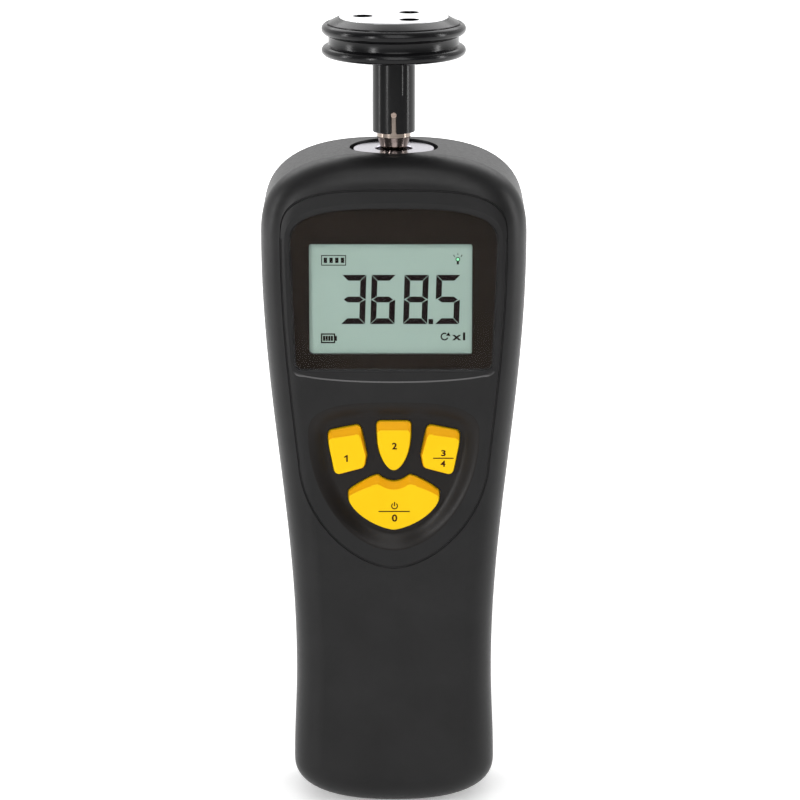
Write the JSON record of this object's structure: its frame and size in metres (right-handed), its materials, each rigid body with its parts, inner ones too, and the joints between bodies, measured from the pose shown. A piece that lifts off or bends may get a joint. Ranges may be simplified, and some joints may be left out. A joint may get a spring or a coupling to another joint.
{
  "type": "contact tachometer",
  "caption": "Hand-held contact tachometer: black moulded housing with display and keypad, and a rubber-tyred speed wheel on a ball-bearing spindle.",
  "frame": {"origin": "lowest point of the housing, on the spindle axis", "axes": "+Z along the instrument from its foot to the wheel, the display and keys face -Y, +X to the right of someone reading the display"},
  "size_m": [0.0724, 0.0394, 0.221],
  "materials": {
    "shell_plastic": "charcoal black moulded plastic with a fine satin grain",
    "rear_plastic": "charcoal black moulded plastic with a fine satin grain",
    "lens": "glossy clear window with a brown-black printed border",
    "lcd": "grey-green liquid crystal glass",
    "frame_white": "white moulded plastic",
    "zebra_rubber": "layered elastomer contact strip",
    "board_green": "green solder resist on glass fibre board",
    "chip_black": "black moulded component bodies",
    "mat_rubber": "dark silicone rubber",
    "key_yellow": "warm yellow satin plastic",
    "collar_metal": "lathe-turned bright metal",
    "block_plastic": "glass-filled grey plastic",
    "bearing_steel": "ground bearing steel",
    "brass_part": "turned brass",
    "spindle_chrome": "bright chrome plated steel",
    "pin_steel": "plain steel",
    "disc_black": "blackened thin steel",
    "ribbon_grey": "grey flat cable",
    "contact_metal": "nickel plated spring steel",
    "lead_wire": "soft insulated wire",
    "cell_wrap": "plain printed cell sleeve",
    "screw_black": "black oxide steel",
    "hub_black": "black moulded plastic, semi-gloss",
    "tyre_rubber": "smooth black rubber",
    "face_metal": "bright turned aluminium"
  },
  "bodies": {
    "housing": {"front_shell": "shell_plastic", "rear_shell": "rear_plastic", "display_lens": "lens", "lcd_glass": "lcd", "lcd_frame": "frame_white", "zebra_strip": "zebra_rubber", "main_board": "board_green", "board_chips": "chip_black", "key_mat": "mat_rubber", "collar_plate": "collar_metal", "bearing_block": "block_plastic", "bearing_outer_races": "bearing_steel", "sensor_board": "board_green", "photo_interrupter": "chip_black", "sensor_ribbon": "ribbon_grey", "battery_springs": "contact_metal", "battery_plates": "contact_metal", "battery_leads": "lead_wire", "batteries": "cell_wrap", "case_screws": "screw_black", "board_screws": "pin_steel", "block_screws": "pin_steel", "sensor_screws": "pin_steel"},
    "spindle": {"spindle_shaft": "spindle_chrome", "drive_pin": "pin_steel", "bearing_inner_races": "bearing_steel", "spacer_sleeve": "brass_part", "retaining_clip": "pin_steel", "encoder_disc": "disc_black", "disc_hub": "brass_part"},
    "ball_cages": {"bearing_balls": "bearing_steel", "bearing_cages": "brass_part"},
    "wheel": {"wheel_hub": "hub_black", "wheel_tyre": "tyre_rubber", "wheel_face": "face_metal"},
    "battery_cover": {"battery_cover": "rear_plastic"},
    "key_left": {"key_left": "key_yellow"},
    "key_middle": {"key_middle": "key_yellow"},
    "key_right": {"key_right": "key_yellow"},
    "key_power": {"key_power": "key_yellow"}
  },
  "joints": [
    {"name": "spindle_turn", "type": "hinge", "parent": "housing", "child": "spindle", "pos_m": [0, 0, 0.175], "axis": [0, 0, 1], "continuous": true},
    {"name": "cage_turn", "type": "hinge", "parent": "housing", "child": "ball_cages", "pos_m": [0, 0, 0.175], "axis": [0, 0, 1], "continuous": true},
    {"name": "wheel_pull", "type": "slide", "parent": "spindle", "child": "wheel", "axis": [0, 0, 1], "range_m": [0, 0.016]},
    {"name": "cover_swing", "type": "hinge", "parent": "housing", "child": "battery_cover", "pos_m": [0, 0.019, 0.0127], "axis": [-1, 0, 0], "range_deg": [0, 45]},
    {"name": "press_left", "type": "slide", "parent": "housing", "child": "key_left", "axis": [0, 1, 0], "range_m": [0, 0.001], "stiffness_N_per_m": 1500},
    {"name": "press_middle", "type": "slide", "parent": "housing", "child": "key_middle", "axis": [0, 1, 0], "range_m": [0, 0.001], "stiffness_N_per_m": 1500},
    {"name": "press_right", "type": "slide", "parent": "housing", "child": "key_right", "axis": [0, 1, 0], "range_m": [0, 0.001], "stiffness_N_per_m": 1500},
    {"name": "press_power", "type": "slide", "parent": "housing", "child": "key_power", "axis": [0, 1, 0], "range_m": [0, 0.001], "stiffness_N_per_m": 1500}
  ],
  "couplings": [
    {"joint": "cage_turn", "follows": "spindle_turn", "ratio": 0.3952}
  ]
}
